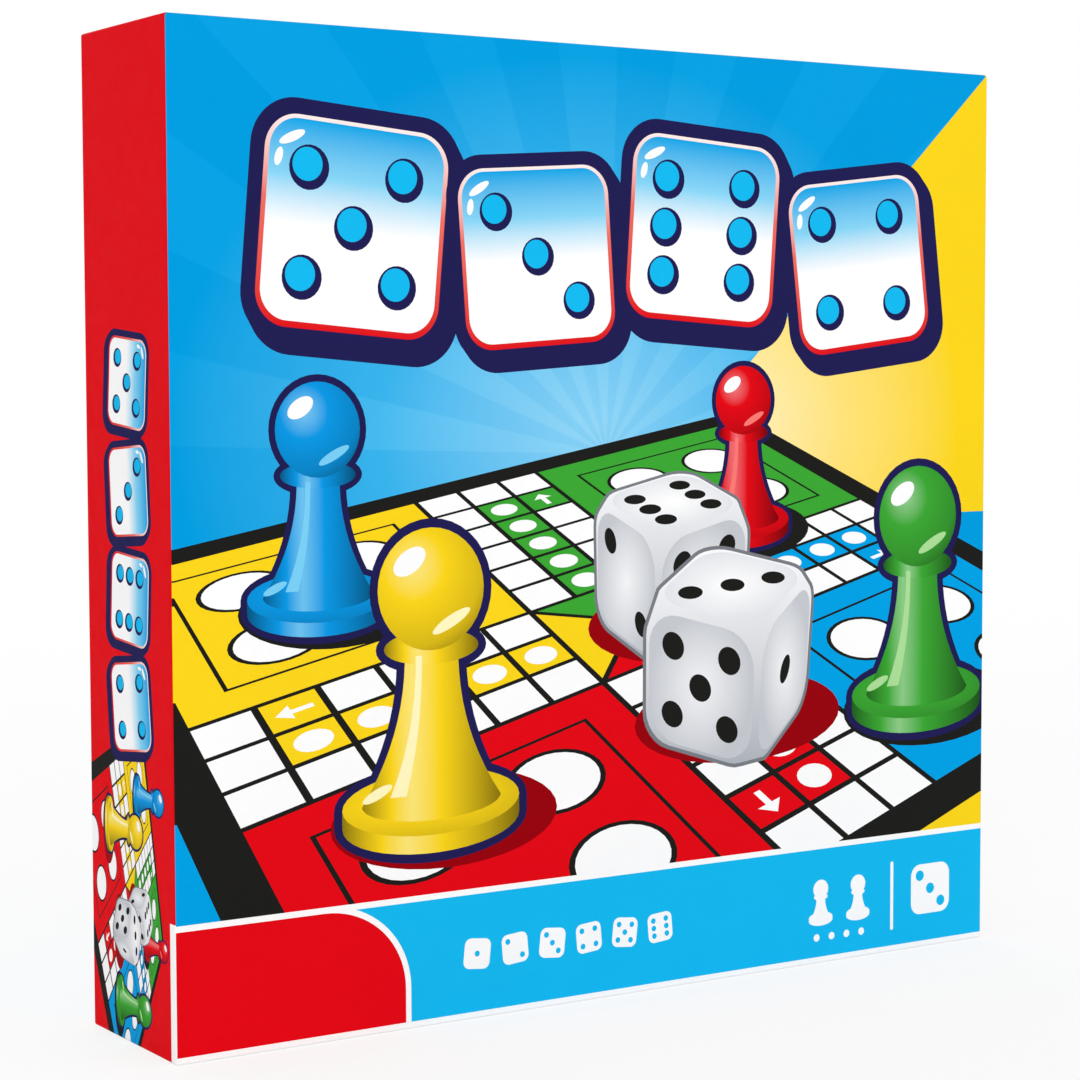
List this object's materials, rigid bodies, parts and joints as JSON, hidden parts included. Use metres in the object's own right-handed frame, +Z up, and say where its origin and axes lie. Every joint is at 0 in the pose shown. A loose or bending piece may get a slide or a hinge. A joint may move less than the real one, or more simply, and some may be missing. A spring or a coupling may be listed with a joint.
{
  "type": "board game box",
  "caption": "Upright two-piece cardboard game box with a full-depth lift-off lid, holding a quarter-fold ludo board, rules leaflet, insert tray, stacking counters and dice.",
  "frame": {"origin": "centre of the rectangle the closed box stands on", "axes": "+Z up, +X along the box width to the right of the printed face, -Y out of the printed lid face"},
  "size_m": [0.268, 0.051, 0.26],
  "materials": {
    "greyboard": "uncoated recycled greyboard",
    "stay_paper": "brown kraft paper",
    "lid_print": "laminated full-colour print, red sides",
    "base_print": "laminated plain blue print",
    "tray_plastic": "thin formed white plastic sheet",
    "leaflet_paper": "uncoated white paper",
    "board_print": "laminated full-colour print",
    "board_backing": "black embossed backing paper",
    "red_counter": "moulded, glossy",
    "yellow_counter": "moulded, glossy",
    "green_counter": "moulded, glossy",
    "blue_counter": "moulded, glossy",
    "die_plastic": "moulded white with black pips"
  },
  "bodies": {
    "base": {"base_greyboard": "greyboard", "base_corner_stays": "stay_paper", "base_wrap": "base_print"},
    "lid": {"lid_greyboard": "greyboard", "lid_corner_stays": "stay_paper", "lid_wrap": "lid_print"},
    "tray": {"insert_tray": "tray_plastic"},
    "leaflet": {"rules_leaflet": "leaflet_paper"},
    "board_quarter_1": {"board_panel_1": "greyboard", "board_print_1": "board_print", "board_backing_1": "board_backing"},
    "board_quarter_2": {"board_panel_2": "greyboard", "board_print_2": "board_print", "board_backing_2": "board_backing"},
    "board_quarter_3": {"board_panel_3": "greyboard", "board_print_3": "board_print", "board_backing_3": "board_backing"},
    "board_quarter_4": {"board_panel_4": "greyboard", "board_print_4": "board_print", "board_backing_4": "board_backing"},
    "red_counter_1": {"red_counter_1": "red_counter"},
    "red_counter_2": {"red_counter_2": "red_counter"},
    "red_counter_3": {"red_counter_3": "red_counter"},
    "red_counter_4": {"red_counter_4": "red_counter"},
    "yellow_counter_1": {"yellow_counter_1": "yellow_counter"},
    "yellow_counter_2": {"yellow_counter_2": "yellow_counter"},
    "yellow_counter_3": {"yellow_counter_3": "yellow_counter"},
    "yellow_counter_4": {"yellow_counter_4": "yellow_counter"},
    "green_counter_1": {"green_counter_1": "green_counter"},
    "green_counter_2": {"green_counter_2": "green_counter"},
    "green_counter_3": {"green_counter_3": "green_counter"},
    "green_counter_4": {"green_counter_4": "green_counter"},
    "blue_counter_1": {"blue_counter_1": "blue_counter"},
    "blue_counter_2": {"blue_counter_2": "blue_counter"},
    "blue_counter_3": {"blue_counter_3": "blue_counter"},
    "blue_counter_4": {"blue_counter_4": "blue_counter"},
    "die_1": {"die_1": "die_plastic"},
    "die_2": {"die_2": "die_plastic"}
  },
  "joints": [
    {"name": "lid_slide", "type": "slide", "parent": "base", "child": "lid", "axis": [0, -1, 0], "range_m": [0, 0.6]},
    {"name": "tray_slide", "type": "slide", "parent": "base", "child": "tray", "axis": [0, -1, 0], "range_m": [0, 0.024]},
    {"name": "leaflet_slide", "type": "slide", "parent": "base", "child": "leaflet", "axis": [0, -1, 0], "range_m": [0, 0.099]},
    {"name": "board_slide", "type": "slide", "parent": "base", "child": "board_quarter_1", "axis": [0, -1, 0], "range_m": [0, 0.12]},
    {"name": "side_fold_lower", "type": "hinge", "parent": "board_quarter_1", "child": "board_quarter_2", "pos_m": [0.1245, -0.0162, 0.1269], "axis": [0, 0, 1], "range_deg": [0, 180]},
    {"name": "middle_fold", "type": "hinge", "parent": "board_quarter_2", "child": "board_quarter_3", "pos_m": [0, -0.0185, 0.2538], "axis": [-1, 0, 0], "range_deg": [0, 180]},
    {"name": "side_fold_upper", "type": "hinge", "parent": "board_quarter_3", "child": "board_quarter_4", "pos_m": [0.1245, -0.0208, 0.1269], "axis": [0, 0, 1], "range_deg": [0, 180]},
    {"name": "red_counter_1_slide", "type": "slide", "parent": "tray", "child": "red_counter_1", "axis": [0, -1, 0], "range_m": [0, 0.027]},
    {"name": "red_counter_2_slide", "type": "slide", "parent": "tray", "child": "red_counter_2", "axis": [0, -1, 0], "range_m": [0, 0.036]},
    {"name": "red_counter_3_slide", "type": "slide", "parent": "tray", "child": "red_counter_3", "axis": [0, -1, 0], "range_m": [0, 0.045]},
    {"name": "red_counter_4_slide", "type": "slide", "parent": "tray", "child": "red_counter_4", "axis": [0, -1, 0], "range_m": [0, 0.054]},
    {"name": "yellow_counter_1_slide", "type": "slide", "parent": "tray", "child": "yellow_counter_1", "axis": [0, -1, 0], "range_m": [0, 0.027]},
    {"name": "yellow_counter_2_slide", "type": "slide", "parent": "tray", "child": "yellow_counter_2", "axis": [0, -1, 0], "range_m": [0, 0.036]},
    {"name": "yellow_counter_3_slide", "type": "slide", "parent": "tray", "child": "yellow_counter_3", "axis": [0, -1, 0], "range_m": [0, 0.045]},
    {"name": "yellow_counter_4_slide", "type": "slide", "parent": "tray", "child": "yellow_counter_4", "axis": [0, -1, 0], "range_m": [0, 0.054]},
    {"name": "green_counter_1_slide", "type": "slide", "parent": "tray", "child": "green_counter_1", "axis": [0, -1, 0], "range_m": [0, 0.027]},
    {"name": "green_counter_2_slide", "type": "slide", "parent": "tray", "child": "green_counter_2", "axis": [0, -1, 0], "range_m": [0, 0.036]},
    {"name": "green_counter_3_slide", "type": "slide", "parent": "tray", "child": "green_counter_3", "axis": [0, -1, 0], "range_m": [0, 0.045]},
    {"name": "green_counter_4_slide", "type": "slide", "parent": "tray", "child": "green_counter_4", "axis": [0, -1, 0], "range_m": [0, 0.054]},
    {"name": "blue_counter_1_slide", "type": "slide", "parent": "tray", "child": "blue_counter_1", "axis": [0, -1, 0], "range_m": [0, 0.027]},
    {"name": "blue_counter_2_slide", "type": "slide", "parent": "tray", "child": "blue_counter_2", "axis": [0, -1, 0], "range_m": [0, 0.036]},
    {"name": "blue_counter_3_slide", "type": "slide", "parent": "tray", "child": "blue_counter_3", "axis": [0, -1, 0], "range_m": [0, 0.045]},
    {"name": "blue_counter_4_slide", "type": "slide", "parent": "tray", "child": "blue_counter_4", "axis": [0, -1, 0], "range_m": [0, 0.054]},
    {"name": "die_1_slide", "type": "slide", "parent": "tray", "child": "die_1", "axis": [0, -1, 0], "range_m": [0, 0.036]},
    {"name": "die_2_slide", "type": "slide", "parent": "tray", "child": "die_2", "axis": [0, -1, 0], "range_m": [0, 0.036]}
  ],
  "couplings": [
    {"joint": "tray_slide", "follows": "lid_slide", "ratio": 0.04},
    {"joint": "leaflet_slide", "follows": "lid_slide", "ratio": 0.165},
    {"joint": "board_slide", "follows": "lid_slide", "ratio": 0.2},
    {"joint": "side_fold_lower", "follows": "lid_slide", "rad_per_m": 0.8},
    {"joint": "middle_fold", "follows": "lid_slide", "rad_per_m": 0.8},
    {"joint": "side_fold_upper", "follows": "lid_slide", "rad_per_m": 0.8},
    {"joint": "red_counter_1_slide", "follows": "lid_slide", "ratio": 0.045},
    {"joint": "red_counter_2_slide", "follows": "lid_slide", "ratio": 0.06},
    {"joint": "red_counter_3_slide", "follows": "lid_slide", "ratio": 0.075},
    {"joint": "red_counter_4_slide", "follows": "lid_slide", "ratio": 0.09},
    {"joint": "yellow_counter_1_slide", "follows": "lid_slide", "ratio": 0.045},
    {"joint": "yellow_counter_2_slide", "follows": "lid_slide", "ratio": 0.06},
    {"joint": "yellow_counter_3_slide", "follows": "lid_slide", "ratio": 0.075},
    {"joint": "yellow_counter_4_slide", "follows": "lid_slide", "ratio": 0.09},
    {"joint": "green_counter_1_slide", "follows": "lid_slide", "ratio": 0.045},
    {"joint": "green_counter_2_slide", "follows": "lid_slide", "ratio": 0.06},
    {"joint": "green_counter_3_slide", "follows": "lid_slide", "ratio": 0.075},
    {"joint": "green_counter_4_slide", "follows": "lid_slide", "ratio": 0.09},
    {"joint": "blue_counter_1_slide", "follows": "lid_slide", "ratio": 0.045},
    {"joint": "blue_counter_2_slide", "follows": "lid_slide", "ratio": 0.06},
    {"joint": "blue_counter_3_slide", "follows": "lid_slide", "ratio": 0.075},
    {"joint": "blue_counter_4_slide", "follows": "lid_slide", "ratio": 0.09},
    {"joint": "die_1_slide", "follows": "lid_slide", "ratio": 0.06},
    {"joint": "die_2_slide", "follows": "lid_slide", "ratio": 0.06}
  ]
}
